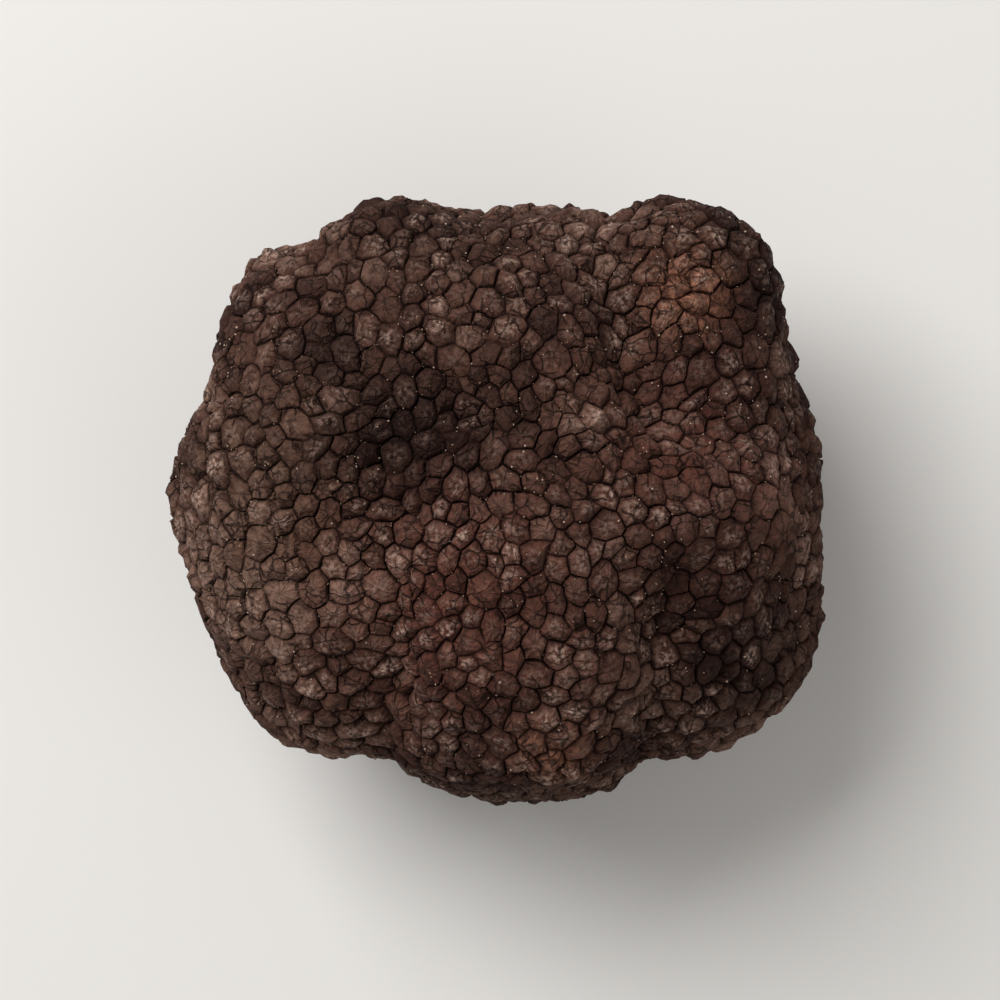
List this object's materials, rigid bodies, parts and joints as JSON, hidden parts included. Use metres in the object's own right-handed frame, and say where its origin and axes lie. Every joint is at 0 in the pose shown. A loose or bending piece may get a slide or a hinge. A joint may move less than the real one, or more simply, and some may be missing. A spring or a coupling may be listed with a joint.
{
  "type": "black truffle",
  "caption": "Knobbly underground fungus covered with low, many-sided warts, one solid piece that lies on a small flat spot.",
  "frame": {"origin": "on the resting surface, below the middle of the truffle's length and width", "axes": "+Z is up; X runs along the longest way, left to right in the picture, and +Y is up in the picture, which looks down on the truffle"},
  "size_m": [0.065, 0.06, 0.045],
  "materials": {
    "truffle_skin": "dry, matt and rough all over; dark brown warts, near-black grooves"
  },
  "bodies": {
    "root": {"truffle": "truffle_skin"}
  },
  "joints": []
}
